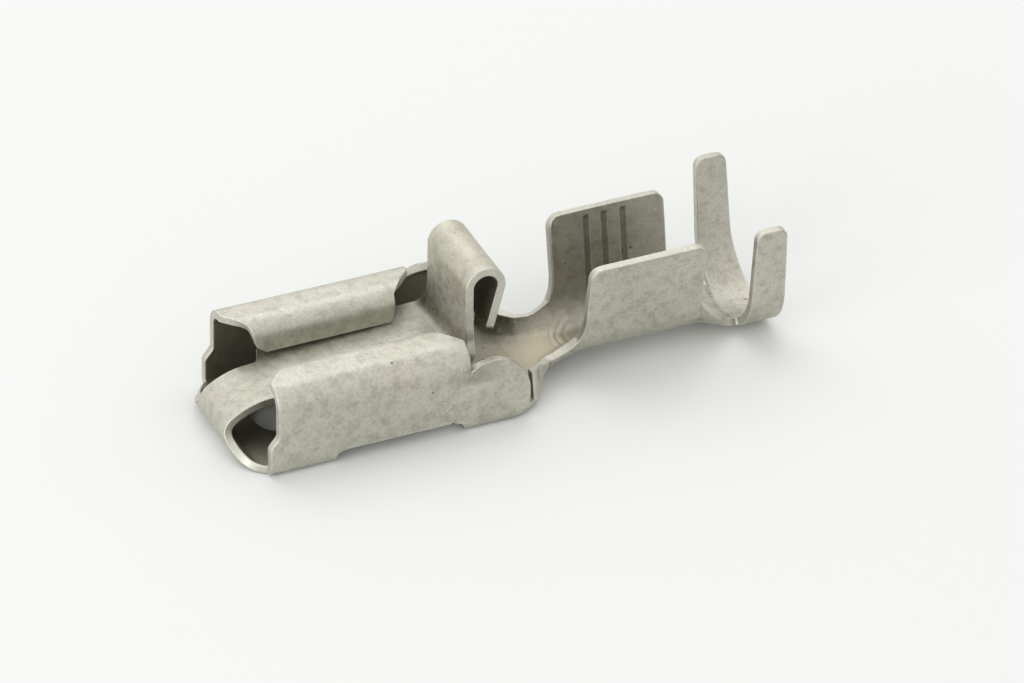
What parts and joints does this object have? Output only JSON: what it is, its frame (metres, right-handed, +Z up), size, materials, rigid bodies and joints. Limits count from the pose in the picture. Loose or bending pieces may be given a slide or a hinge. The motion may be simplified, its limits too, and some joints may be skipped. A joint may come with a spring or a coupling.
{
  "type": "female spade terminal",
  "caption": "Female push-on spade terminal in tinned sheet metal, with a rolled-edge socket, a folded spring strand, a curled release lever and open crimp barrels.",
  "frame": {"origin": "centre of the bounding box at its bottom, on the underside of the socket's floor", "axes": "+X from the socket's mouth to the insulation barrel, +Y across the part, +Z up, out of the open barrels"},
  "size_m": [0.0236, 0.0072, 0.0064],
  "materials": {
    "tinned_sheet": "satin tin plating over copper alloy"
  },
  "bodies": {
    "root": {"terminal": "tinned_sheet"}
  },
  "joints": []
}
